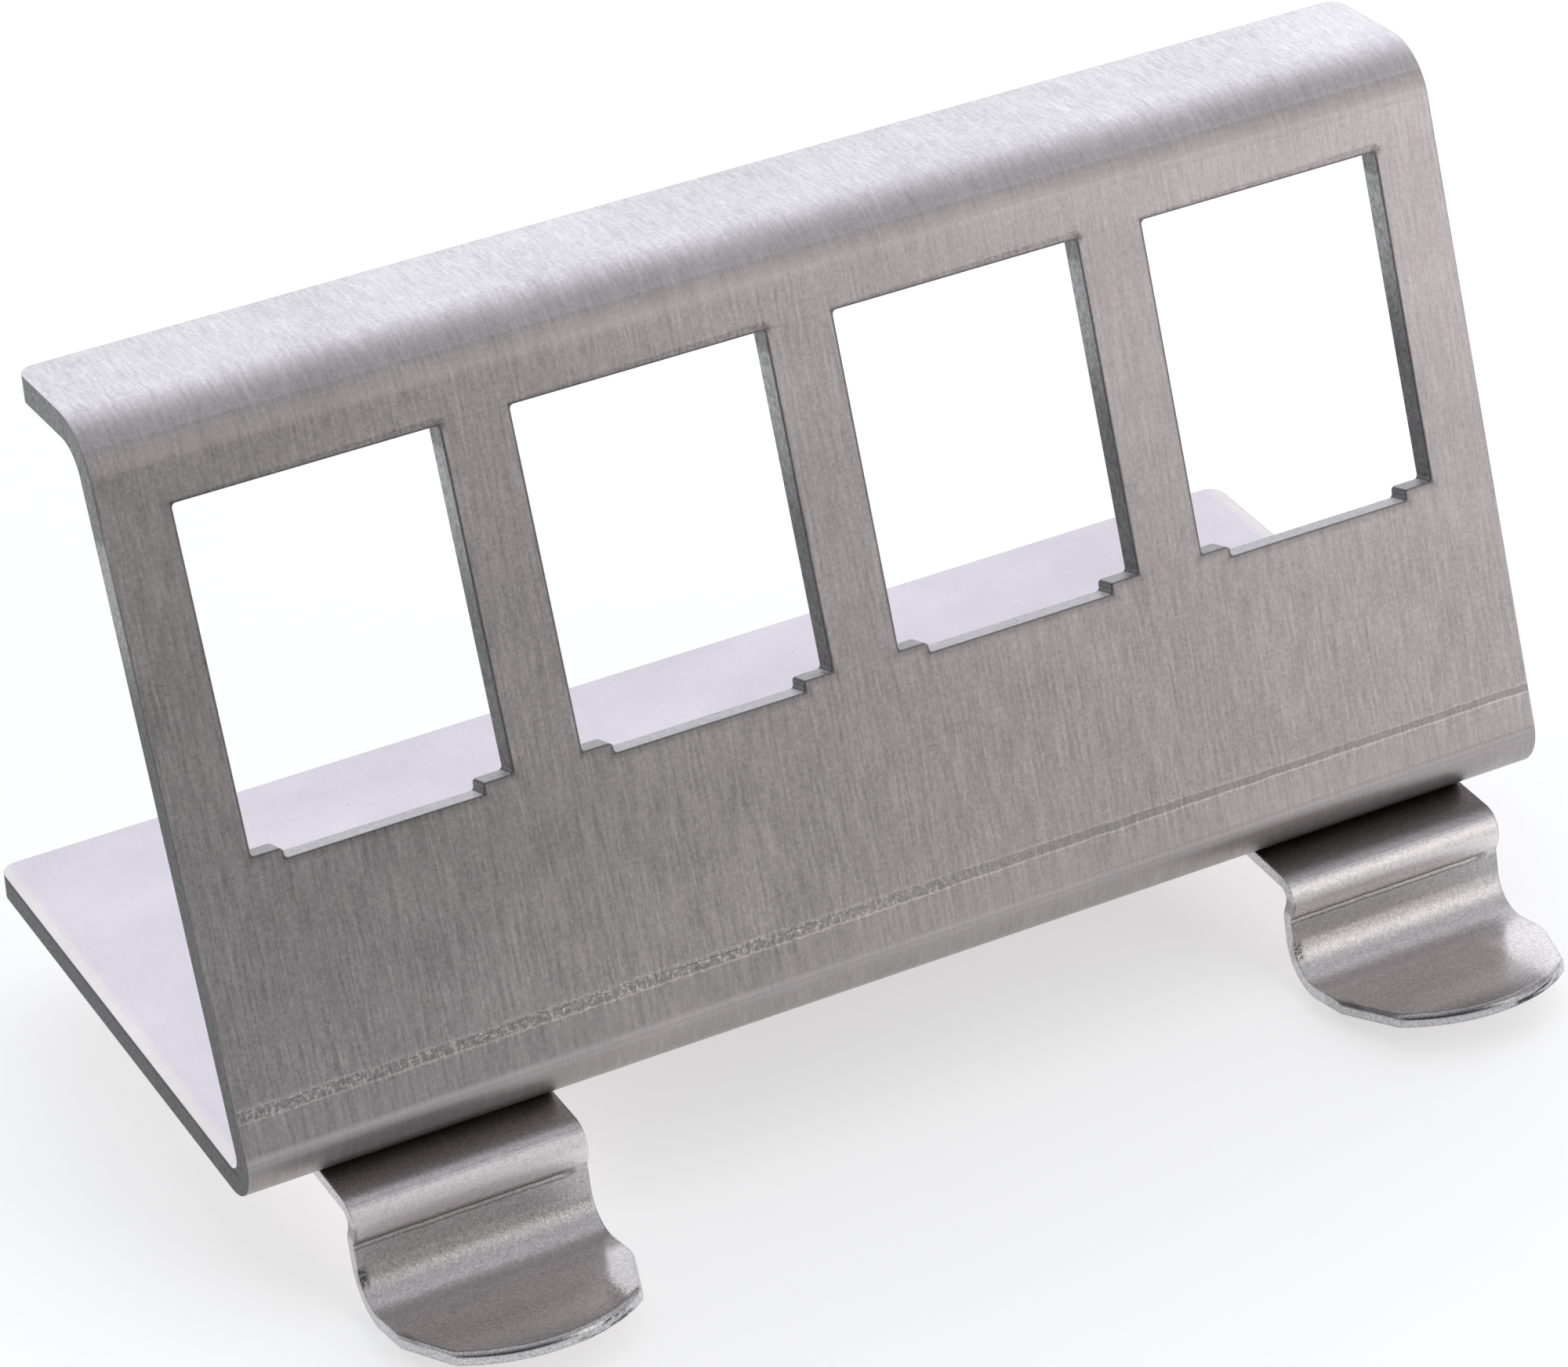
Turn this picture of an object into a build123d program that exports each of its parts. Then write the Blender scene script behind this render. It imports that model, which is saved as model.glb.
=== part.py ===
from build123d import *
import math
import os

# Keystone module holder for a 35 mm top-hat rail: one folded sheet of brushed
# stainless steel with four keystone openings, carried by two riveted spring clips.
# X runs along the row of openings, Y backwards, Z up. The origin lies midway
# along the holder, on the rail's centre line and its top face. Millimetres.

# Top-hat rail that the clips grip
RAIL_WIDTH = 35.0
RAIL_THICKNESS = 1.0

# Folded sheet, measured to the outer corners of its folds; radii are inner ones
SHEET = 1.5
BASE_DEPTH = 35.0
BASE_OVERHANG = 0.6
HEIGHT = 39.8
LIP_DEPTH = 8.4
LIP_FALL = 4.5
PANEL_LEAN = 20.0
FOLD_RADIUS = 1.0
LIP_RADIUS = 2.0
CORNER_RADIUS = 1.0

# Keystone openings, measured up the panel's front face from its foot
OPENING_COUNT = 4
OPENING_PITCH = 18.75
OPENING_WIDTH = 14.8
OPENING_HEIGHT = 19.3
OPENING_SILL = 18.2
LEDGE_WIDTH = 1.75
LEDGE_HEIGHT = 0.6
OPENING_CORNER = 0.25
END_MARGIN = 3.83

# Spring clips; angles are turned from the seat's line, radii are inner ones
CLIP_SHEET = 0.7
CLIP_WIDTH = 13.5
CLIP_INSET = 10.95
CLIP_SHIFT = 0.3
RAIL_CLEARANCE = 0.05
SHOULDER_RADIUS = 0.6
CATCH_ANGLE = 106.0
CATCH_LENGTH = 0.65
CREASE_RADIUS = 0.2
FLARE_ANGLE = 78.0
FLARE_LENGTH = 1.4
TONGUE_BEND_RADIUS = 2.0
TONGUE_RISE = 13.0
HOOK_CLEARANCE = 0.3
HOOK_DEPTH = 0.35
HOOK_LEG = 3.2

# Release tongue, measured forwards from its bend
TONGUE_SHOULDER = 2.5
TONGUE_CHAMFER_END = 6.2
TONGUE_FRONT_WIDTH = 10.8
TONGUE_LENGTH = 8.4
TONGUE_CORNER_RADIUS = 1.5
TONGUE_RIM_RADIUS = 0.3

# Rivets that hold each clip to the base
RIVET_ROWS = (-5.0, 4.0)
SHANK_DIAMETER = 3.2
HEAD_DIAMETER = 5.6
HEAD_HEIGHT = 1.2
TAIL_DIAMETER = 4.8
TAIL_HEIGHT = 0.9

# Relative difference below which two lengths are the same
SAME = 1e-6

# Places that follow from the sizes above
LENGTH = (OPENING_COUNT - 1) * OPENING_PITCH + OPENING_WIDTH + 2 * END_MARGIN
CLIP_REACH = LENGTH / 2 - CLIP_INSET
BASE_BOTTOM = CLIP_SHEET
BASE_BACK = RAIL_WIDTH / 2 + BASE_OVERHANG
PANEL_FOOT = BASE_BACK - BASE_DEPTH
CLIP_CENTRES = {"left": CLIP_SHIFT - CLIP_REACH, "right": CLIP_SHIFT + CLIP_REACH}


def bent_line(start, heading, moves, offset=0.0):
    """Edges beside a bent path: a straight is a length, a bend is (radius, turn)."""
    tangent = Vector(1, 0).rotate(Axis.Z, heading)
    point = Vector(start) + tangent.rotate(Axis.Z, 90) * offset
    edges = []
    for move in moves:
        if isinstance(move, tuple):
            radius, turn = move
            edge = JernArc(point, tangent, radius - offset * math.copysign(1, turn), turn)
        else:
            edge = Line(point, point + tangent * move)
        edges.append(edge)
        point = edge @ 1
        tangent = edge % 1
    return edges


def strip_profile(start, heading, moves, thickness):
    """Side view of a bent strip, its thickness to the left of the drawn path."""
    near = bent_line(start, heading, moves)
    far = bent_line(start, heading, moves, thickness)
    ends = [Line(near[0] @ 0, far[0] @ 0), Line(near[-1] @ 1, far[-1] @ 1)]
    return Plane.YZ * make_face(near + far + ends)


def setback(outer_radius, turn):
    """Length that a bend takes off each of the two straights that it joins."""
    return outer_radius * math.tan(math.radians(turn / 2))


def bracket_profile():
    """Base, leaning panel and top lip, drawn along their outer side."""
    fold_turn = 90 + PANEL_LEAN
    lip_turn = 90 - PANEL_LEAN + LIP_FALL
    fold_setback = setback(FOLD_RADIUS + SHEET, fold_turn)
    lip_setback = setback(LIP_RADIUS + SHEET, lip_turn)
    panel_length = HEIGHT / math.cos(math.radians(PANEL_LEAN))
    moves = [
        BASE_DEPTH - fold_setback,
        (FOLD_RADIUS + SHEET, -fold_turn),
        panel_length - fold_setback - lip_setback,
        (LIP_RADIUS + SHEET, -lip_turn),
        LIP_DEPTH - lip_setback,
    ]
    return strip_profile((BASE_BACK, BASE_BOTTOM), 180, moves, -SHEET)


def opening_outline():
    """Keystone opening: a rectangle with a raised ledge in both lower corners."""
    body = Rectangle(OPENING_WIDTH, OPENING_HEIGHT - LEDGE_HEIGHT, align=(Align.CENTER, Align.MAX))
    sill = Rectangle(OPENING_WIDTH - 2 * LEDGE_WIDTH, OPENING_HEIGHT, align=(Align.CENTER, Align.MAX))
    outline = Pos(0, OPENING_SILL + OPENING_HEIGHT) * (body + sill)
    return fillet(outline.vertices(), OPENING_CORNER)


def rivet_places():
    """Places of the rivets, on the plane where clip and base meet."""
    return [Pos(x, y, BASE_BOTTOM) for x in CLIP_CENTRES.values() for y in RIVET_ROWS]


def drill(piece):
    """Rivet holes through a piece."""
    for place in rivet_places():
        piece -= place * Cylinder(SHANK_DIAMETER / 2, 4 * SHEET)
    return piece


def make_bracket():
    """Folded sheet with rounded free corners, its row of openings and its rivet holes."""
    bracket = extrude(bracket_profile(), LENGTH / 2, both=True)
    free_corners = bracket.edges().filter_by(lambda edge: math.isclose(edge.length, SHEET, rel_tol=SAME))
    bracket = fillet(free_corners, CORNER_RADIUS)
    lean = math.radians(PANEL_LEAN)
    panel_front = Plane(
        origin=(0, PANEL_FOOT, BASE_BOTTOM),
        x_dir=(1, 0, 0),
        z_dir=(0, -math.cos(lean), math.sin(lean)),
    )
    first = -OPENING_PITCH * (OPENING_COUNT - 1) / 2
    for index in range(OPENING_COUNT):
        outline = Pos(first + index * OPENING_PITCH, 0) * opening_outline()
        bracket -= extrude(panel_front * outline, 2 * SHEET, both=True)
    return drill(bracket)


def clip_profile():
    """Rear hook, flat seat, front shoulder, catch, flare and rising tongue."""
    hook_radius = (RAIL_THICKNESS + HOOK_CLEARANCE) / 2
    hook_centre = RAIL_WIDTH / 2 + HOOK_DEPTH - hook_radius
    shoulder_start = -RAIL_WIDTH / 2 - RAIL_CLEARANCE + SHOULDER_RADIUS
    moves = [
        HOOK_LEG,
        (hook_radius + CLIP_SHEET, 180),
        hook_centre - shoulder_start,
        (SHOULDER_RADIUS + CLIP_SHEET, CATCH_ANGLE),
        CATCH_LENGTH,
        (CREASE_RADIUS, FLARE_ANGLE - CATCH_ANGLE),
        FLARE_LENGTH,
        (TONGUE_BEND_RADIUS, -FLARE_ANGLE - TONGUE_RISE),
        TONGUE_LENGTH + CLIP_SHEET,
    ]
    start = (hook_centre - HOOK_LEG, -2 * hook_radius - CLIP_SHEET)
    tongue_root = bent_line(start, 0, moves)[-1] @ 0
    return strip_profile(start, 0, moves, CLIP_SHEET), tongue_root


def tongue_scrap():
    """Blank metal punched away round the tongue, in the tongue's own plane."""
    side = CLIP_WIDTH / 2
    front = TONGUE_FRONT_WIDTH / 2
    sides = Polyline(
        (-front, -TONGUE_CHAMFER_END),
        (-side, -TONGUE_SHOULDER),
        (-side, 0),
        (side, 0),
        (side, -TONGUE_SHOULDER),
        (front, -TONGUE_CHAMFER_END),
    )
    nose = ThreePointArc(sides @ 1, (0, -TONGUE_LENGTH), sides @ 0)
    tongue = make_face(sides.edges() + nose.edges())
    corners = tongue.vertices().filter_by(lambda vertex: vertex.Y < -TONGUE_SHOULDER - TONGUE_CORNER_RADIUS)
    tongue = fillet(corners, TONGUE_CORNER_RADIUS)
    blank = Rectangle(2 * CLIP_WIDTH, 2 * TONGUE_LENGTH, align=(Align.CENTER, Align.MAX))
    return blank - tongue


def make_clip(centre_x):
    """One spring clip, centred on its line along the holder."""
    profile, tongue_root = clip_profile()
    clip = extrude(profile, CLIP_WIDTH / 2, both=True)
    rise = math.radians(TONGUE_RISE)
    tongue_plane = Plane(
        origin=(0, tongue_root.X, tongue_root.Y),
        x_dir=(1, 0, 0),
        z_dir=(0, math.sin(rise), math.cos(rise)),
    )
    clip -= extrude(tongue_plane * tongue_scrap(), 2 * CLIP_SHEET, both=True)
    tongue_top = clip.faces().filter_by(tongue_plane).sort_by(Axis.Z)[-1]
    rim = tongue_top.edges().filter_by(
        lambda edge: tongue_plane.to_local_coords(edge @ 0.5).Y < -TONGUE_SHOULDER
    )
    clip = fillet(rim, TONGUE_RIM_RADIUS)
    return drill(Pos(centre_x, 0, 0) * clip)


def dome_arc(rim_radius, rim_height, rise):
    """Arc from a dome's top, on the axis, to its rim."""
    ball = (rim_radius**2 + rise**2) / (2 * abs(rise))
    half_angle = math.asin(rim_radius / ball) / 2
    drop = math.copysign(ball * (1 - math.cos(half_angle)), rise)
    top = rim_height + rise
    return ThreePointArc((0, top), (ball * math.sin(half_angle), top - drop), (rim_radius, rim_height))


def make_rivet():
    """Solid rivet: domed head on the base, shank, and flatter tail under the clip."""
    shank = SHANK_DIAMETER / 2
    head = dome_arc(HEAD_DIAMETER / 2, SHEET, HEAD_HEIGHT)
    tail = dome_arc(TAIL_DIAMETER / 2, -CLIP_SHEET, -TAIL_HEIGHT)
    body = Polyline(head @ 1, (shank, SHEET), (shank, -CLIP_SHEET), tail @ 1)
    axis_line = Line(tail @ 0, head @ 0)
    outline = make_face([head, tail, axis_line] + body.edges())
    return revolve(Plane.XZ * outline, Axis.Z)


os.makedirs("parts", exist_ok=True)
rivets = Compound(children=[place * make_rivet() for place in rivet_places()])
nodes = {"bracket": make_bracket(), "clip_rivets": rivets}
for name, centre_x in CLIP_CENTRES.items():
    nodes[f"{name}_clip"] = make_clip(centre_x)
for name, shape in nodes.items():
    export_step(shape, f"parts/{name}.step")
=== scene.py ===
import math

import bpy
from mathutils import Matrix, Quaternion, Vector


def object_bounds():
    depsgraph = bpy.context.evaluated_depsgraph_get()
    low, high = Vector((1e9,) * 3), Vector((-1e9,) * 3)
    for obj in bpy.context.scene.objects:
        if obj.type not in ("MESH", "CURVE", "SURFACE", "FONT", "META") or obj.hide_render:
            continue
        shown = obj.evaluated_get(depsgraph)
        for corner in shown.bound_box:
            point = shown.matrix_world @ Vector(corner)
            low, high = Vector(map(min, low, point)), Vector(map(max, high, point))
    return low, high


# Looks for the keystone module holder. Metres in the scene, millimetres inside the materials.
MM = 0.001

# Sizes and places on the sheet that the materials follow, in millimetres. A rise goes up the panel's front
# face from its foot, and a depth goes into the sheet from that face.
PANEL_FOOT_Y = -16.9
PANEL_FOOT_Z = 0.7
PANEL_LEAN = math.radians(20.0)
SHEET = 1.5
BASE_TOP_Z = 2.2
LIP_BEND_RISE = 36.0
OPENINGS_MIDDLE_RISE = 28.0
OPENINGS_HALF_RISE = 11.0
INSIDE_ENDS_X = (39.0, 39.2)
WORN_STRIP_X = (38.3, 39.1)
LIP_RIGHT_X = (8.0, 36.0)
BEHIND_PANEL_Y = (3.0, 3.5)
BEHIND_FOLD_Y = (-15.0, -14.0)
BASE_SIDE_Z = (6.0, 4.0)
FRONT_SKIN_DEPTH = (0.4, 0.2)
SIDE_WALL_RISE = (33.0, 20.0)
UPPER_END_RISE = (34.0, 28.0)
LOWER_END_RISE = (31.0, 26.0)
OPENING_PITCH = 18.75
OPENING_HALF = 7.4
SILL_HALF = 5.65
OPENING_TOP = 37.5
OPENING_LEDGE = 18.8
OPENING_SILL = 18.2
OUTER_POST = 37.0

# Directions that a face looks: a part of its normal, from where it starts to count to where it counts fully,
# or the middle, half width and softness of a range
SIDEWAYS = (0.3, 0.6)
BACKWARDS = (0.5, 0.7)
LEVEL = (0.6, 0.95)
SILL_LEVEL = (0.3, 0.7)
FACING_FRONT = (0.8, 0.9)
EDGE_ON = (0.5, 0.3)
FOLD_BEND = (0.32, 0.24)
FOLD_START = (0.34, 0.28)
FOLD_UNDER = (0.28, 0.05)
LIP_BEND = (0.68, 0.22, 0.1)
LIP_BEND_START = (0.54, 0.04, 0.2)
LIP_BEND_LINE = (0.43, 0.04, 0.05)

# Press brake's mark: its rise, where along the holder it goes from clean to ragged and from narrow to wide,
# its half width at both, how far it wanders, and the fine lines along its sides
MARK_RISE = 5.8
MARK_CLEAN_X = 16.0
MARK_RAGGED_X = -10.0
MARK_NARROW_X = 24.0
MARK_WIDE_X = -4.0
MARK_NARROW_HALF = 0.18
MARK_WIDE_HALF = 0.29
MARK_WANDER = 0.2
MARK_JITTER = 0.3
MARK_LINE_OUT = 0.06
MARK_LINE_HALF = 0.03
MARK_LINE_SOFT = 0.06
MARK_STRENGTH = 0.42

# Marks round the openings: how far each reaches from the edge, and how dark it is
OUTLINE_REACH = (0.05, 0.16)
OUTLINE_DARK = 0.58
HALO_REACH = (0.1, 0.55)
HALO_DARK = 0.24
ROLL_WIDTH_LEFT = 0.14
ROLL_WIDTH_RIGHT = 0.42
ROLL_DARK = 0.34
SMUDGE_REACH = (0.15, 0.5)
SMUDGE_DARK = 0.68

# Grain of the sheet: strength of each part of it, and what it does to brightness
FINE_SHARE = 0.95
MEDIUM_SHARE = 0.28
GRIT_SHARE = 0.85
STREAK_BRIGHTNESS = 0.95
CLOUD_BRIGHTNESS = 0.36

# How much calmer the grain is on level faces, on the base, in the lip's bend and where the fold burnished it
LEVEL_CALM = 0.15
BASE_CALM = 0.65
LIP_BEND_CALM = 0.2
BURNISHED_CALM = 0.3

# How much darker or lighter the sheet is at its marks, in its bends and along its sheared edges
PUNCH_LINE_DARK = 0.06
SPECK_DARK = 0.25
# Painted shade where the fold curves under and where the lip's bend starts, and painted light at the lip's
# right end
FOLD_START_PAINTED_SHADE = 0.2
FOLD_UNDER_PAINTED_SHADE = 0.18
LIP_BEND_START_PAINTED_SHADE = 0.17
LIP_BEND_LINE_PAINTED_SHADE = 0.06
LIP_RIGHT_PAINTED_LIGHT = 0.11
WORN_SHARE = 0.7
TEAR_BRIGHTNESS = 2.2
LEVEL_TEAR_LOSS = 1.2
WALL_BURR_DARK = 0.5
BASE_BURR_DARK = 0.38
WALL_BRIGHTNESS = 0.95
SIDE_WALL_LIGHT = 0.6
LEDGE_DARK = 0.25
# Painted light and shade on the panel's end faces: lighter under the lip, darker lower down and on the lip's
# end
UPPER_END_PAINTED_LIGHT_AND_SHADE = (0.15, -0.34)
LOWER_END_PAINTED_SHADE = 0.45
LIP_END_PAINTED_SHADE = 0.35

# Finish of the sheet: roughness, what its zones add to it, and heights of its relief in millimetres
SHEET_ROUGHNESS = 0.385
STREAK_ROUGHNESS = 0.12
SHEARED_ROUGHNESS = 0.1
LIP_BEND_ROUGHNESS = 0.06
SHEET_ANISOTROPY = 0.4
STREAK_HEIGHT = 0.004
TEAR_HEIGHT = 0.02
MARK_DEPTH = 0.01
SHEET_EDGE_RADIUS = 0.12 * MM

# Zones of the clips, in millimetres: across from a clip's middle, back along Y, and up along Z. A pair is
# where a zone starts to show and where it is full.
SHOULDER_BEND_Y = (-15.8, -17.0)
TONGUE_BEND_Y = (-21.9, -20.6)
TONGUE_START_Y = (-21.2, -22.2)
LIT_START_Y = (-21.0, -22.6)
TONGUE_WALL_Y = (-26.0, -26.6)
SEAT_Z = (-1.2, -0.6)
SHOULDER_Z = (-1.5, -1.2)
CREASE_Z = -1.75
FLARE_Z = -2.4
CREASE_FRONT_Y = (-16.8, -17.2)
CREASE_END_ACROSS = 5.7
NICK_ACROSS = (-6.05, -6.45)
NICK_FRONT_Y = (-18.0, -18.3)
NICK_Z = -3.5
CATCH_NICK_ACROSS = (-6.5, -6.62)
CATCH_NICK_Z = -0.9

# Left clip and right clip: the middle of each along X, where its tongue's bright corner starts, how far the
# normal is tipped backwards there, and how much painted highlight, painted shade or roughness its zones get
CLIP_CENTRES = (-28.105, 28.705)
LIT_EDGES = (3.9, 2.9)
LIT_TILTS = (0.12, 0.0)
SHOULDER_PAINTED_HIGHLIGHT = (0.5, 0.3)
FLARE_PAINTED_SHADE = (0.12, 0.3)
TONGUE_PAINTED_SHADE = (0.15, 0.26)
SEAT_PAINTED_SHADOW = (0.1, 0.4)
SHOULDER_ROUGHNESS = (0.14, 0.06)

# Marks on both clips: a nick's half height and how softly it ends, the crease's depth, both in millimetres,
# and how dark the marks are, the crease's double line and the tongue wall's streaks being painted shade
NICK_SPREAD = (0.3, 0.35)
CREASE_DEPTH = 0.02
NICK_DARK = 0.8
CATCH_NICK_SHARE = 0.5
CREASE_PAINTED_SHADE = 0.5
# Painted dark reflection on the tongue's edge wall
TONGUE_WALL_PAINTED_REFLECTION = 0.85

# Finish of clips and rivets
CLIP_ROUGHNESS = 0.22
BEND_ROUGHNESS = 0.17
CLIP_EDGE_RADIUS = 0.18 * MM
RIVET_ROUGHNESS = 0.26
RIVET_EDGE_RADIUS = 0.1 * MM

# Colours
PANEL_COLOUR = (0.612, 0.562, 0.562)
LIP_COLOUR = (0.600, 0.570, 0.585)
BASE_COLOUR = (0.605, 0.565, 0.605)
WORN_COLOUR = (0.70, 0.65, 0.62)
WALL_COLOUR = (0.355, 0.355, 0.355)
SILL_COLOUR = (0.54, 0.52, 0.535)
CLIP_COLOUR = (0.655, 0.622, 0.622)
CLIP_EDGE_COLOUR = (0.64, 0.635, 0.64)
RIVET_DARK_COLOUR = (0.56, 0.55, 0.55)
RIVET_LIGHT_COLOUR = (0.64, 0.62, 0.62)
PAPER_DARK_COLOUR = (0.82, 0.82, 0.82)
PAPER_LIGHT_COLOUR = (0.84, 0.84, 0.84)

# Camera of the photograph: place in metres, turn in degrees, lens and sensor in millimetres, and the nearest
# and furthest that it sees in metres
CAMERA_PLACE = (-0.1293488, -0.2529309, 0.1943148)
CAMERA_TURN = (57.17478, 1.76374, -28.30619)
CAMERA_LENS = 142.0388
SENSOR_WIDTH = 36.0
CAMERA_NEAR = 0.01
CAMERA_FAR = 20.0

# Studio: a tent that is bright behind and dark in front, a key softbox, and a large dim fill at the front
# right. A lamp has its azimuth from the back towards the right and its elevation in degrees, its distance,
# width and height in metres, its roll in degrees and its radiance. The tent's ranges run towards its
# brightest direction. The floor glows near the part, and turns dark far in front of it, out of the camera's
# view, where only the panel mirrors it.
TENT_FRONT = (0.02, 0.02, 0.02)
TENT_TOP = (0.47, 0.478, 0.50)
TENT_BACK = (1.34, 1.376, 1.445)
TENT_BRIGHTEST = (0.321, 0.883, 0.342)
TENT_TOP_RANGE = (-0.8, 0.1)
TENT_BACK_RANGE = (0.15, 1.0)
TENT_BACK_POWER = 1.7
LAMP_COLOUR = (1.02, 1.0, 0.99)
KEY_LAMP = (146.0, 20.5, 0.45, 0.14, 0.29, 20.0, 1.46)
FILL_LAMP = (134.0, 27.0, 0.60, 0.56, 0.56, 10.0, 0.35)
FLOOR_GAP = 0.02 * MM
FLOOR_HALF = 3.0
FLOOR_CENTRE = (0.02, 0.05, 0.0)
PAPER_SCALE = 40.0
FLOOR_GLOW = 0.48
FLOOR_FRONT_NEAR = -0.065
FLOOR_FRONT_FAR = -0.13
FLOOR_FRONT_DARK = 0.6
FLOOR_GLOW_FULL = 0.10
FLOOR_GLOW_END = 0.26


class Number:
    """A value in a node tree that adds, subtracts and multiplies like a number."""

    def __init__(self, nodes, socket):
        self.nodes = nodes
        self.socket = socket

    def __add__(self, other):
        return self.nodes.math("ADD", self, other)

    def __sub__(self, other):
        return self.nodes.math("SUBTRACT", self, other)

    def __rsub__(self, other):
        return self.nodes.math("SUBTRACT", other, self)

    def __mul__(self, other):
        return self.nodes.math("MULTIPLY", self, other)

    def __abs__(self):
        return self.nodes.math("ABSOLUTE", self)

    __radd__ = __add__
    __rmul__ = __mul__

    def ramp(self, low, high, out_low=0.0, out_high=1.0, smooth=True):
        """Taken from low..high to out_low..out_high and held at both ends."""
        node = self.nodes.add("ShaderNodeMapRange", interpolation_type="SMOOTHSTEP" if smooth else "LINEAR")
        entries = {"Value": self, "From Min": low, "From Max": high, "To Min": out_low, "To Max": out_high}
        for name, entry in entries.items():
            self.nodes.plug(node.inputs[name], entry)
        return Number(self.nodes, node.outputs[0])

    def band(self, centre, half, soft):
        """1 within half of the centre, falling to 0 over the soft distance."""
        return abs(self - centre).ramp(half, half + soft, 1.0, 0.0)


class Nodes:
    """Short calls for building one node tree."""

    def __init__(self, tree):
        self.tree = tree
        tree.nodes.clear()

    def add(self, kind, **settings):
        node = self.tree.nodes.new(kind)
        for name, value in settings.items():
            setattr(node, name, value)
        return node

    def plug(self, socket, value):
        if isinstance(value, Number):
            value = value.socket
        if isinstance(value, bpy.types.NodeSocket):
            self.tree.links.new(value, socket)
        elif value is not None:
            socket.default_value = value

    def math(self, operation, *values):
        node = self.add("ShaderNodeMath", operation=operation)
        for socket, value in zip(node.inputs, values):
            self.plug(socket, value)
        return Number(self, node.outputs[0])

    def larger(self, first, second):
        return self.math("MAXIMUM", first, second)

    def smaller(self, first, second):
        return self.math("MINIMUM", first, second)

    def vector_math(self, operation, *values):
        node = self.add("ShaderNodeVectorMath", operation=operation)
        for socket, value in zip(node.inputs, values):
            self.plug(socket, value)
        return node

    def split(self, vector):
        node = self.add("ShaderNodeSeparateXYZ")
        self.plug(node.inputs[0], vector)
        return [Number(self, socket) for socket in node.outputs]

    def join(self, x, y, z):
        node = self.add("ShaderNodeCombineXYZ")
        for socket, value in zip(node.inputs, (x, y, z)):
            self.plug(socket, value)
        return node.outputs[0]

    def dot(self, vector, direction):
        return Number(self, self.vector_math("DOT_PRODUCT", vector, direction).outputs["Value"])

    def length(self, x, y):
        """Distance of (x, y) from nought."""
        return Number(self, self.vector_math("LENGTH", self.join(x, y, 0.0)).outputs["Value"])

    def noise(self, vector, scale=1.0, detail=3.0, rough=0.55):
        """Clouds round zero, about -0.5 to 0.5."""
        node = self.add("ShaderNodeTexNoise", noise_dimensions="3D")
        self.plug(node.inputs["Vector"], vector)
        node.inputs["Scale"].default_value = scale
        node.inputs["Detail"].default_value = detail
        node.inputs["Roughness"].default_value = rough
        return Number(self, node.outputs["Fac"]) - 0.5

    def cells(self, vector, scale):
        """Distance to the nearest of many scattered points, and a random value for each."""
        node = self.add("ShaderNodeTexVoronoi", feature="F1")
        self.plug(node.inputs["Vector"], vector)
        node.inputs["Scale"].default_value = scale
        return Number(self, node.outputs["Distance"]), self.split(node.outputs["Color"])[0]

    def blend(self, factor, first, second):
        """Colour between two colours."""
        node = self.add("ShaderNodeMix", data_type="RGBA")
        self.plug(node.inputs["Factor"], factor)
        for name, value in (("A", first), ("B", second)):
            socket = [s for s in node.inputs if s.name == name and s.type == "RGBA"][0]
            self.plug(socket, value if isinstance(value, bpy.types.NodeSocket) else (*value, 1.0))
        return [s for s in node.outputs if s.type == "RGBA"][0]

    def shade(self, colour, factor):
        """Colour times a number."""
        node = self.add("ShaderNodeVectorMath", operation="SCALE")
        self.plug(node.inputs[0], colour)
        self.plug(node.inputs["Scale"], factor)
        return node.outputs[0]

    def rounded(self, radius):
        """Normal with the solid's sharp edges rounded."""
        node = self.add("ShaderNodeBevel", samples=4)
        node.inputs["Radius"].default_value = radius
        return node.outputs[0]

    def bump(self, height, normal):
        """Normal of a surface whose height is given in millimetres."""
        node = self.add("ShaderNodeBump")
        self.plug(node.inputs["Height"], height)
        self.plug(node.inputs["Normal"], normal)
        node.inputs["Distance"].default_value = MM
        node.inputs["Strength"].default_value = 1.0
        return node.outputs[0]

    def place(self):
        """Place on the part in millimetres."""
        coordinates = self.add("ShaderNodeTexCoord").outputs["Object"]
        return self.shade(coordinates, 1 / MM)

    def facing(self):
        """Direction that the flat face looks, before any bump."""
        return self.add("ShaderNodeNewGeometry").outputs["True Normal"]


def new_material(name):
    """Empty material, and short calls for its nodes."""
    material = bpy.data.materials.new(name)
    material.use_nodes = True
    return material, Nodes(material.node_tree)


def finish_metal(n, colour, roughness, normal, anisotropic=0.0, tangent=None):
    """Ends a material in a metal shader."""
    shader = n.add("ShaderNodeBsdfPrincipled")
    shader.inputs["Metallic"].default_value = 1.0
    n.plug(shader.inputs["Base Color"], colour)
    n.plug(shader.inputs["Roughness"], roughness)
    shader.inputs["Anisotropic"].default_value = anisotropic
    n.plug(shader.inputs["Normal"], normal)
    n.plug(shader.inputs["Tangent"], tangent)
    output = n.add("ShaderNodeOutputMaterial")
    n.tree.links.new(shader.outputs[0], output.inputs["Surface"])


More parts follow.
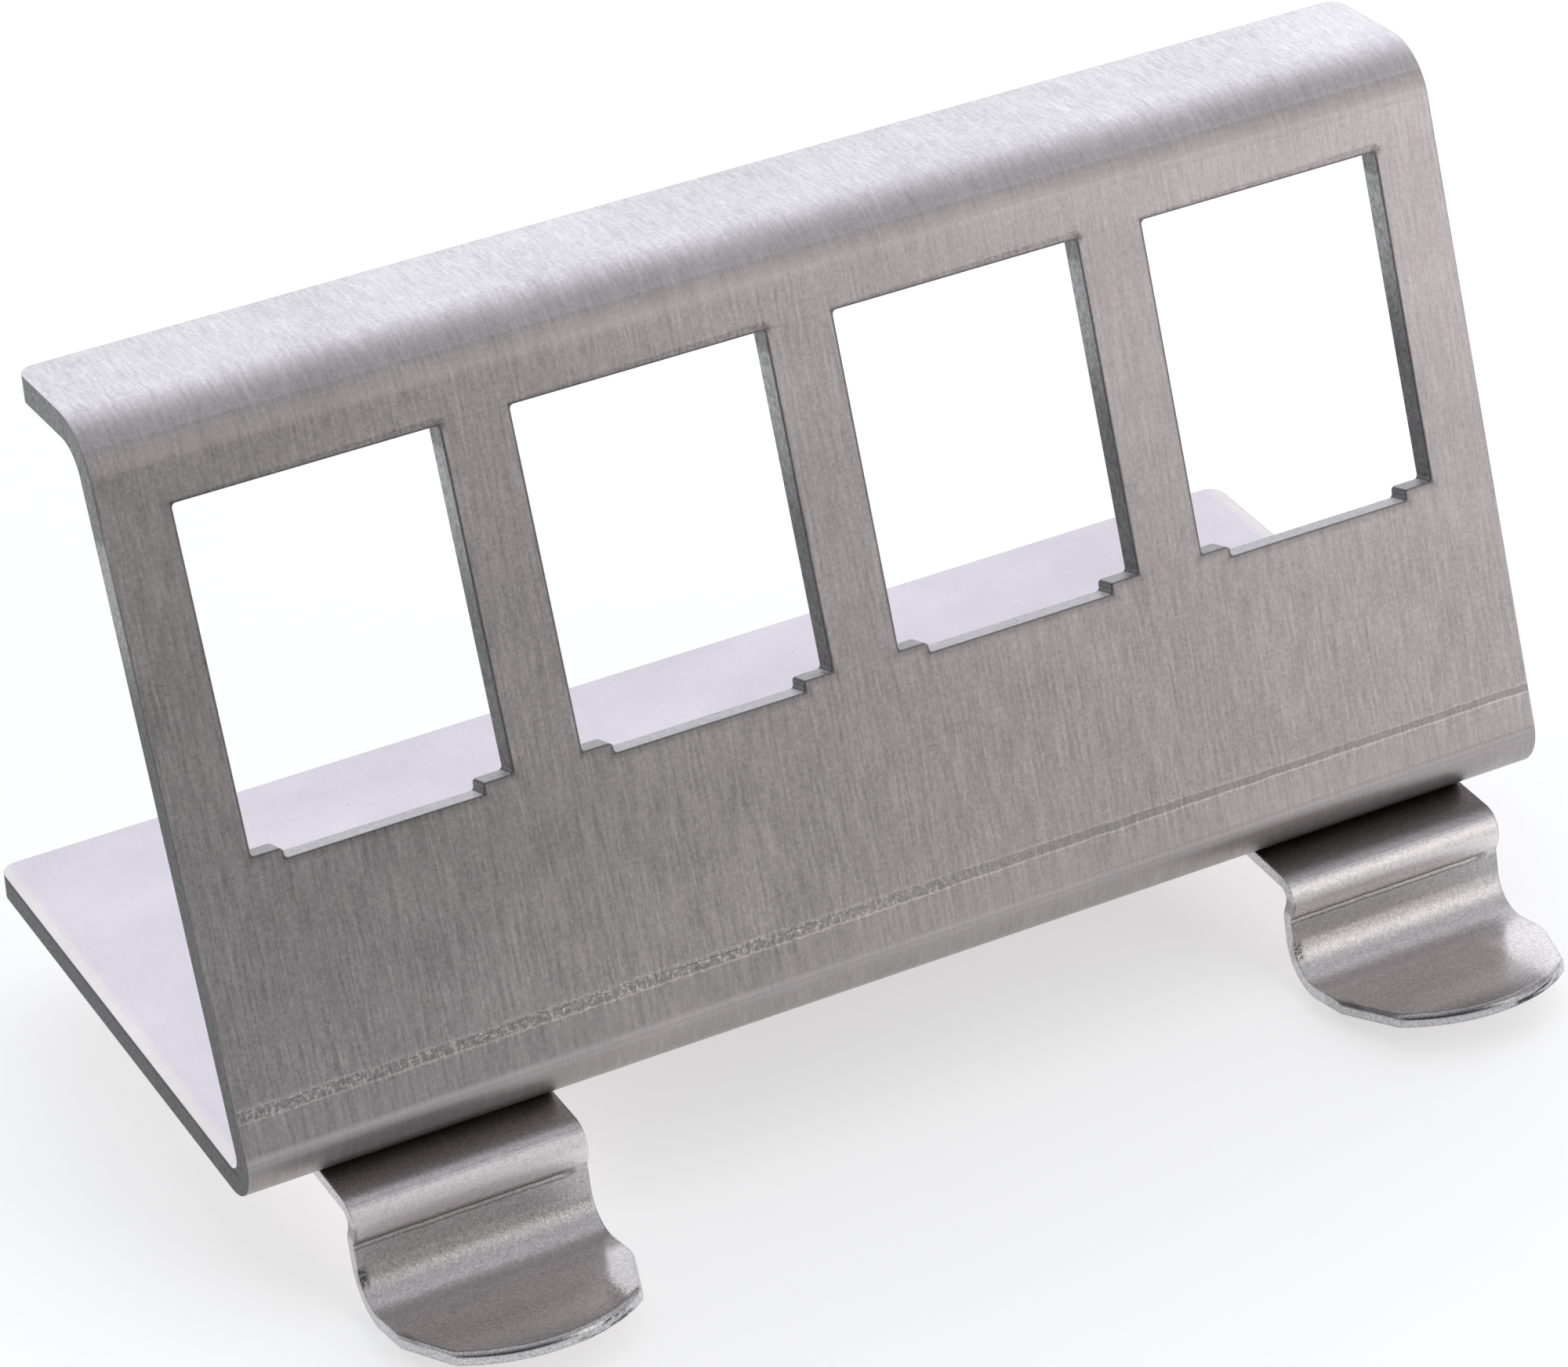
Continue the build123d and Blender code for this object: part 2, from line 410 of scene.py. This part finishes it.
def press_mark(n, x, rise):
    """Press brake's mark above the fold: how dark its bed is, and how bright its lips and hatching."""
    wander = n.noise(n.join(x * 0.5, 0.0, 0.0)) * MARK_WANDER
    ragged = x.ramp(MARK_CLEAN_X, MARK_RAGGED_X)
    jitter = n.noise(n.join(x * 2.6, 0.0, 11.0), detail=2.0) * ragged * MARK_JITTER
    from_mark = rise - MARK_RISE - wander - jitter
    half = x.ramp(MARK_NARROW_X, MARK_WIDE_X, MARK_NARROW_HALF, MARK_WIDE_HALF)
    strokes = n.noise(n.join(x * 3.6, rise * 2.6, 5.0), detail=3.0, rough=0.75)
    dashes = n.noise(n.join(x * 0.8, rise * 0.4, 8.0), detail=2.0)
    from_side = abs(from_mark) - half
    bed = from_side.ramp(0.0, 0.1, 1.0, 0.0) * (1.0 - ragged * strokes.ramp(-0.05, 0.15))
    lower_lip = (from_mark + half).band(-MARK_LINE_OUT, MARK_LINE_HALF, MARK_LINE_SOFT)
    lower_lip = lower_lip * (0.5 + ragged * 0.5)
    upper_lip = (from_mark - half).band(MARK_LINE_OUT, MARK_LINE_HALF, MARK_LINE_SOFT) * 0.4
    hatching = from_side.ramp(0.05, 0.25, 1.1, 0.0) * strokes.ramp(-0.02, 0.14) * ragged
    edge_line = from_mark.band(0.16, MARK_LINE_HALF, MARK_LINE_SOFT) * dashes.ramp(-0.06, 0.1) * ragged
    dark = n.larger(bed * (0.5 - ragged * 0.06), edge_line)
    return dark, n.larger(n.larger(lower_lip, upper_lip), hatching)


def opening_marks(n, place, x, rise):
    """Dark line round every opening, speckled die roll along its top edge, smudge in its right corner."""
    half_pitch = OPENING_PITCH / 2
    across = n.math("WRAP", x - half_pitch, half_pitch, -half_pitch)
    body = n.larger(abs(across) - OPENING_HALF, n.larger(rise - OPENING_TOP, OPENING_LEDGE - rise))
    sill = n.larger(abs(across) - SILL_HALF, n.larger(rise - OPENING_TOP, OPENING_SILL - rise))
    distance = n.smaller(body, sill)
    within = abs(x).ramp(OUTER_POST, OUTER_POST + 0.2, 1.0, 0.0)
    outline = distance.ramp(*OUTLINE_REACH, 1.0, 0.0)
    halo = distance.ramp(*HALO_REACH, 1.0, 0.0) * rise.ramp(OPENING_LEDGE + 0.4, OPENING_LEDGE - 0.2)
    roll_width = across.ramp(-OPENING_HALF, OPENING_HALF, ROLL_WIDTH_LEFT, ROLL_WIDTH_RIGHT, smooth=False)
    above = rise - OPENING_TOP
    beside = abs(across).ramp(OPENING_HALF, OPENING_HALF + 0.15, 1.0, 0.0)
    speckle = n.noise(place, scale=7.0, detail=1.0)
    roll = above.ramp(roll_width, roll_width + 0.08, 1.0, 0.0) * above.ramp(-0.05, 0.0) * beside
    roll = roll * speckle.ramp(-0.12, 0.1, 1.0, 0.35)
    from_corner = n.length(across - OPENING_HALF, above - 0.05)
    smudge = from_corner.ramp(*SMUDGE_REACH, 1.0, 0.0) * speckle.ramp(-0.2, 0.15, 1.0, 0.4)
    edge_dark = n.larger(outline * OUTLINE_DARK, halo * HALO_DARK)
    top_dark = n.larger(roll * ROLL_DARK, smudge * SMUDGE_DARK)
    return n.larger(edge_dark, top_dark) * within


def brushed_stainless():
    """Sheet brushed along its height, with sheared edges and the press brake's marks."""
    material, n = new_material("brushed_stainless_sheet")
    place = n.place()
    x, y, z = n.split(place)
    facing = n.facing()
    facing_x, facing_y, facing_z = n.split(facing)
    lean_sin, lean_cos = math.sin(PANEL_LEAN), math.cos(PANEL_LEAN)
    rise = (y - PANEL_FOOT_Y) * lean_sin + (z - PANEL_FOOT_Z) * lean_cos
    depth = (y - PANEL_FOOT_Y) * lean_cos - (z - PANEL_FOOT_Z) * lean_sin
    square_on = abs(n.dot(facing, (0.0, -lean_cos, lean_sin)))
    on_front = depth.ramp(*FRONT_SKIN_DEPTH) * square_on.ramp(*FACING_FRONT)
    upward = facing_z.ramp(*LEVEL)

    # Where the sheet was sheared: both ends, the openings' walls and the two back edges
    end_faces = abs(facing_x).ramp(*SIDEWAYS)
    beside_openings = rise.band(OPENINGS_MIDDLE_RISE, OPENINGS_HALF_RISE, 0.5)
    in_panel = depth.band(SHEET / 2, SHEET / 2 + 0.1, 0.05) * beside_openings
    walls = in_panel * square_on.ramp(*EDGE_ON) * abs(x).ramp(*INSIDE_ENDS_X, 1.0, 0.0)
    back_edges = facing_y.ramp(*BACKWARDS) * y.ramp(*BEHIND_PANEL_Y)
    sheared = n.larger(end_faces, n.larger(walls, back_edges))

    # Brushing: fine streaks that run up the panel and back along base and lip
    along = y + z
    fine = n.noise(n.join(x * 5.2, along * 0.24, depth * 0.8), detail=3.0, rough=0.7)
    medium = n.noise(n.join(x * 1.3, along * 0.12, depth * 0.3), detail=3.0, rough=0.6)
    cloud = n.noise(n.join(x * 0.09, along * 0.12, 3.0), detail=4.0, rough=0.6)
    grit = n.noise(place, scale=4.5, detail=3.0, rough=0.75)
    streak = fine * FINE_SHARE + medium * MEDIUM_SHARE + grit * GRIT_SHARE
    on_base = upward * z.ramp(*BASE_SIDE_Z)
    bent = facing_z.band(*LIP_BEND)
    burnished = on_front * rise.ramp(MARK_RISE - 0.4, MARK_RISE - 1.2) + facing_z.ramp(*FOLD_BEND)
    calm = 1.0 - upward * LEVEL_CALM - on_base * BASE_CALM - bent * LIP_BEND_CALM
    calm = calm - burnished * BURNISHED_CALM

    # Marks: press brake, the punch's line across the posts, scattered specks and the openings' edges
    mark_dark, mark_bright = press_mark(n, x, rise)
    punch_wander = n.noise(n.join(x * 1.5, 0.0, 9.0)) * 0.15
    punch_line = (rise - punch_wander).band(OPENING_TOP, 0.03, 0.08)
    punch_line = punch_line * abs(x).ramp(OUTER_POST, OUTER_POST - 1.0)
    speck_distance, speck_kind = n.cells(place, 0.45)
    speck = speck_distance.ramp(0.05, 0.02) * speck_kind.ramp(0.86, 0.88)

    bright = 1.0 + streak * calm * STREAK_BRIGHTNESS + cloud * CLOUD_BRIGHTNESS
    bright = bright * (1.0 - mark_dark * on_front * MARK_STRENGTH)
    bright = bright * (1.0 + mark_bright * on_front * MARK_STRENGTH)
    bright = bright * (1.0 - punch_line * on_front * PUNCH_LINE_DARK) * (1.0 - speck * SPECK_DARK)
    bright = bright * (1.0 - opening_marks(n, place, x, rise) * on_front)

    # Painted shade where the fold curves under and where the lip's bend starts, painted light at the lip's
    # right end
    fold_painted_shade = facing_z.ramp(*FOLD_START) * FOLD_START_PAINTED_SHADE + facing_z.ramp(*FOLD_UNDER) * FOLD_UNDER_PAINTED_SHADE
    lip_bend_painted_shade = facing_z.band(*LIP_BEND_START) * LIP_BEND_START_PAINTED_SHADE
    lip_bend_painted_shade = lip_bend_painted_shade + facing_z.band(*LIP_BEND_LINE) * LIP_BEND_LINE_PAINTED_SHADE
    lip_painted_light = (upward - on_base) * x.ramp(*LIP_RIGHT_X, 0.0, LIP_RIGHT_PAINTED_LIGHT)
    bright = bright * (1.0 - fold_painted_shade) * (1.0 - lip_bend_painted_shade) * (1.0 + lip_painted_light)
    level_colour = n.blend(on_base, LIP_COLOUR, BASE_COLOUR)
    worn = on_base * (abs(x) + fine * 0.9).ramp(*WORN_STRIP_X)
    level_colour = n.blend(worn * WORN_SHARE, level_colour, WORN_COLOUR)
    face_colour = n.shade(n.blend(upward, PANEL_COLOUR, level_colour), bright)

    # Torn grain of the sheared edges, with dark burrs along the faces. The openings' side walls turn lighter
    # downwards, and the panel's ends carry painted light and shade: lighter under the lip, darker downwards
    # and on the lip.
    tear = n.noise(place, scale=3.2, detail=4.0, rough=0.75)
    burr = n.larger(depth.band(0.0, 0.06, 0.1), depth.band(SHEET, 0.0, 0.06) * 0.4) * in_panel
    level_walls = walls * facing_z.ramp(*SILL_LEVEL)
    side_walls = walls - level_walls
    on_ledge = level_walls * rise.ramp(OPENING_LEDGE - 0.3, OPENING_LEDGE - 0.1)
    base_burr = end_faces * (z + tear * 0.5).band(BASE_TOP_Z, 0.16, 0.16) * y.ramp(*BEHIND_FOLD_Y)
    torn = 1.0 + tear * (TEAR_BRIGHTNESS - level_walls * LEVEL_TEAR_LOSS)
    torn = torn * (1.0 - burr * WALL_BURR_DARK) * (1.0 - base_burr * BASE_BURR_DARK)
    torn = torn * (WALL_BRIGHTNESS + side_walls * rise.ramp(*SIDE_WALL_RISE, 0.0, SIDE_WALL_LIGHT))
    torn = torn * (1.0 - on_ledge * LEDGE_DARK)
    torn = torn * (1.0 + end_faces * rise.ramp(*UPPER_END_RISE, *UPPER_END_PAINTED_LIGHT_AND_SHADE))
    torn = torn * (1.0 - end_faces * rise.ramp(*LOWER_END_RISE, 0.0, LOWER_END_PAINTED_SHADE))
    torn = torn * (1.0 - end_faces * rise.ramp(LIP_BEND_RISE, LIP_BEND_RISE + 0.6, 0.0, LIP_END_PAINTED_SHADE))
    wall_colour = n.blend(facing_z.ramp(*SILL_LEVEL), WALL_COLOUR, SILL_COLOUR)
    edge_colour = n.shade(wall_colour, torn)

    colour = n.blend(sheared, face_colour, edge_colour)
    roughness = SHEET_ROUGHNESS + streak * STREAK_ROUGHNESS + sheared * SHEARED_ROUGHNESS
    roughness = roughness + bent * LIP_BEND_ROUGHNESS
    height = streak * calm * (1.0 - sheared) * STREAK_HEIGHT + tear * sheared * TEAR_HEIGHT
    height = height - mark_dark * on_front * MARK_DEPTH
    normal = n.bump(height, n.rounded(SHEET_EDGE_RADIUS))
    tangent = n.join(1.0 - end_faces, end_faces, 0.0)
    finish_metal(n, colour, roughness, normal, anisotropic=SHEET_ANISOTROPY, tangent=tangent)
    return material


def by_clip(x, left, right):
    """One value on the left clip and another on the right one."""
    return x.ramp(-1.0, 1.0, left, right)


def nickel_spring_steel():
    """Satin nickel plate: smooth tongue, orange peel at the bends, a creased catch."""
    material, n = new_material("satin_nickel_spring_steel")
    place = n.place()
    x, y, z = n.split(place)
    facing_x, _, facing_z = n.split(n.facing())
    across = x - by_clip(x, *CLIP_CENTRES)

    peel = n.noise(place, scale=4.5, detail=3.0, rough=0.65)
    grain = n.noise(place, scale=9.0, detail=2.0, rough=0.7)
    rolled = n.noise(n.join(x * 0.35, (y + z) * 2.2, 2.0), detail=2.0)
    bends = y.ramp(*TONGUE_BEND_Y) * y.ramp(*SHOULDER_BEND_Y)
    on_side = abs(facing_x).ramp(*SIDEWAYS)

    # Crease inside the catch: a double line of painted shade that ends in a small burr at the right
    crease_wander = n.noise(n.join(x * 0.7, 0.0, 0.0)) * 0.15
    from_crease = z - CREASE_Z - crease_wander
    lines = n.larger(from_crease.band(0.12, 0.02, 0.08), from_crease.band(-0.16, 0.01, 0.08) * 0.7)
    from_end = n.length((across - CREASE_END_ACROSS) * 0.5, from_crease - 0.05)
    burr = from_end.ramp(0.1, 0.25, 1.0, 0.0) * grain.ramp(-0.1, 0.1)
    crease = n.larger(lines * across.ramp(CREASE_END_ACROSS - 0.4, CREASE_END_ACROSS + 0.2, 1.0, 0.0), burr)
    crease = crease * y.ramp(*CREASE_FRONT_Y) * (1.0 - on_side)

    # Edge wall of the tongue, with a painted dark reflection in streaks across it
    wall = (1.0 - abs(facing_z).ramp(0.35, 0.6)) * y.ramp(*TONGUE_WALL_Y)
    streaks = n.noise(n.join(x * 0.5, y * 0.5, z * 7.0), detail=2.0, rough=0.7)
    tongue_wall_painted_reflection = wall * across.band(2.6, 1.5, 0.7) * streaks.ramp(-0.02, 0.06)

    # Zones from the shoulder to the tongue, the tongue's bright right corner, and black nicks at the left
    flare = z.band(FLARE_Z, 0.4, 0.4) * (1.0 - on_side)
    from_right = across + grain * 1.6 - by_clip(x, *LIT_EDGES)
    lit = y.ramp(*LIT_START_Y) * from_right.ramp(0.0, 0.9)
    tongue = y.ramp(*TONGUE_START_Y) * (1.0 - lit)
    nick = across.ramp(*NICK_ACROSS) * z.band(NICK_Z, *NICK_SPREAD) * grain.ramp(-0.08, 0.02)
    nick = nick * facing_z.ramp(-0.1, 0.1) * y.ramp(*NICK_FRONT_Y)
    catch_nick = across.ramp(*CATCH_NICK_ACROSS) * z.band(CATCH_NICK_Z, *NICK_SPREAD)
    nick = n.larger(nick, catch_nick * CATCH_NICK_SHARE)
    seat_painted_shadow = facing_z.ramp(0.75, 1.0) * z.ramp(*SEAT_Z)
    shoulder = z.ramp(*SHOULDER_Z) * facing_z.ramp(0.9, 0.7) * (1.0 - on_side)
    # Painted shadow on the seat under the fold, painted highlight along the shoulder, painted shade on flare
    # and tongue
    bright = 1.0 + peel * (0.8 - bends * 0.1) + grain * (0.9 - bends * 0.2) + rolled * 0.1
    bright = bright + shoulder * by_clip(x, *SHOULDER_PAINTED_HIGHLIGHT)
    bright = bright * (1.0 - flare * by_clip(x, *FLARE_PAINTED_SHADE)) * (1.0 - tongue * by_clip(x, *TONGUE_PAINTED_SHADE))
    bright = bright * (1.0 - nick * NICK_DARK) * (1.0 - seat_painted_shadow * by_clip(x, *SEAT_PAINTED_SHADOW))
    bright = bright * (1.0 - crease * CREASE_PAINTED_SHADE) * (1.0 - tongue_wall_painted_reflection * TONGUE_WALL_PAINTED_REFLECTION)
    colour = n.shade(n.blend(n.larger(on_side, wall), CLIP_COLOUR, CLIP_EDGE_COLOUR), bright)
    roughness = CLIP_ROUGHNESS + bends * BEND_ROUGHNESS + grain * 0.05
    roughness = roughness + shoulder * by_clip(x, *SHOULDER_ROUGHNESS)
    height = peel * (0.0015 + bends * 0.011) + grain * (0.0012 + bends * 0.002) - crease * CREASE_DEPTH
    tilt = n.join(0.0, lit * by_clip(x, *LIT_TILTS), 0.0)
    tipped = n.vector_math("ADD", n.rounded(CLIP_EDGE_RADIUS), tilt).outputs["Vector"]
    finish_metal(n, colour, roughness, n.bump(height, tipped))
    return material


def rivet_steel():
    """Formed steel rivet with a faint hammered face."""
    material, n = new_material("formed_rivet_steel")
    place = n.place()
    dents = n.noise(place, scale=1.8, detail=3.0)
    fine = n.noise(place, scale=9.0, detail=2.0)
    colour = n.blend(dents + 0.5, RIVET_DARK_COLOUR, RIVET_LIGHT_COLOUR)
    colour = n.shade(colour, 1.0 + dents * 0.15 + fine * 0.08)
    roughness = RIVET_ROUGHNESS + dents * 0.15
    normal = n.bump(dents * 0.03 + fine * 0.006, n.rounded(RIVET_EDGE_RADIUS))
    finish_metal(n, colour, roughness, normal)
    return material


def dress(node, material):
    """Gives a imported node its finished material."""
    for material_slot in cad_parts[node].material_slots:
        material_slot.material = material


def make_floor(low):
    """Pale floor just under the part; its glow near the part shows to camera, metal and glass alike."""
    mesh = bpy.data.meshes.new("studio_floor")
    h = FLOOR_HALF
    z = low - FLOOR_GAP
    mesh.from_pydata([(-h, -h, z), (h, -h, z), (h, h, z), (-h, h, z)], [], [(0, 1, 2, 3)])
    floor = bpy.data.objects.new("studio_floor", mesh)
    bpy.context.scene.collection.objects.link(floor)
    material, n = new_material("pale_floor")
    place = n.add("ShaderNodeTexCoord").outputs["Object"]
    paint = n.add("ShaderNodeBsdfDiffuse")
    paper = n.blend(n.noise(place, scale=PAPER_SCALE) + 0.5, PAPER_DARK_COLOUR, PAPER_LIGHT_COLOUR)
    in_front = n.split(place)[1].ramp(FLOOR_FRONT_NEAR, FLOOR_FRONT_FAR)
    n.plug(paint.inputs["Color"], n.shade(paper, 1.0 - in_front * FLOOR_FRONT_DARK))
    from_part = n.vector_math("DISTANCE", place, FLOOR_CENTRE).outputs["Value"]
    nearness = Number(n, from_part).ramp(FLOOR_GLOW_FULL, FLOOR_GLOW_END, 1.0, 0.0) * (1.0 - in_front)
    path = n.add("ShaderNodeLightPath").outputs
    seen = n.larger(path["Is Camera Ray"], n.larger(path["Is Glossy Ray"], path["Is Transmission Ray"]))
    glow = n.add("ShaderNodeEmission")
    n.plug(glow.inputs["Strength"], nearness * seen * FLOOR_GLOW)
    both = n.add("ShaderNodeAddShader")
    n.tree.links.new(paint.outputs[0], both.inputs[0])
    n.tree.links.new(glow.outputs[0], both.inputs[1])
    output = n.add("ShaderNodeOutputMaterial")
    n.tree.links.new(both.outputs[0], output.inputs["Surface"])
    mesh.materials.append(material)


def make_world():
    """Light tent: dim in front of the part, brighter overhead, brightest low behind it."""
    world = bpy.data.worlds.new("studio")
    bpy.context.scene.world = world
    world.use_nodes = True
    n = Nodes(world.node_tree)
    direction = n.add("ShaderNodeTexCoord").outputs["Generated"]
    backwards = n.dot(direction, TENT_BRIGHTEST)
    overhead = backwards.ramp(*TENT_TOP_RANGE)
    behind = n.math("POWER", backwards.ramp(*TENT_BACK_RANGE, smooth=False), TENT_BACK_POWER)
    tent = n.blend(behind, n.blend(overhead, TENT_FRONT, TENT_TOP), TENT_BACK)
    light = n.add("ShaderNodeBackground")
    n.plug(light.inputs["Color"], tent)
    output = n.add("ShaderNodeOutputWorld")
    n.tree.links.new(light.outputs[0], output.inputs["Surface"])


def make_lamp(name, azimuth, elevation, distance, width, height, roll, radiance):
    """Softbox that faces the part."""
    turn, climb = math.radians(azimuth), math.radians(elevation)
    towards = Vector((math.sin(turn) * math.cos(climb), math.cos(turn) * math.cos(climb), math.sin(climb)))
    lamp = bpy.data.lights.new(name, "AREA")
    lamp.shape = "RECTANGLE"
    lamp.size = width
    lamp.size_y = height
    lamp.color = LAMP_COLOUR
    lamp.energy = math.pi * width * height * radiance
    softbox = bpy.data.objects.new(name, lamp)
    bpy.context.scene.collection.objects.link(softbox)
    softbox.location = towards * distance
    facing = towards.to_track_quat("Z", "Y") @ Quaternion((0.0, 0.0, 1.0), math.radians(roll))
    softbox.rotation_euler = facing.to_euler()


def make_camera():
    """Camera at the photograph's place and angle."""
    camera = bpy.data.objects.new("camera", bpy.data.cameras.new("camera"))
    bpy.context.scene.collection.objects.link(camera)
    camera.location = CAMERA_PLACE
    camera.rotation_euler = [math.radians(angle) for angle in CAMERA_TURN]
    camera.data.lens = CAMERA_LENS
    camera.data.sensor_width = SENSOR_WIDTH
    camera.data.clip_start = CAMERA_NEAR
    camera.data.clip_end = CAMERA_FAR
    bpy.context.scene.camera = camera


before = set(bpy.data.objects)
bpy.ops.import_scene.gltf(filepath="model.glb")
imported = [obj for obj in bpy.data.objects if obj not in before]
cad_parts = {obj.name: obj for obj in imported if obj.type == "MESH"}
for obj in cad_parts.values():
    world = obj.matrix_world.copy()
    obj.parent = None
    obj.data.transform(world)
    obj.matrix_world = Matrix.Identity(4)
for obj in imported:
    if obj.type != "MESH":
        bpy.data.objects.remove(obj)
cad_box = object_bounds()

dress("bracket", brushed_stainless())
nickel = nickel_spring_steel()
dress("left_clip", nickel)
dress("right_clip", nickel)
dress("clip_rivets", rivet_steel())

make_floor(cad_box[0].z)
make_world()
make_lamp("key_softbox", *KEY_LAMP)
make_lamp("fill_softbox", *FILL_LAMP)
make_camera()
bpy.context.scene.view_settings.view_transform = "Standard"
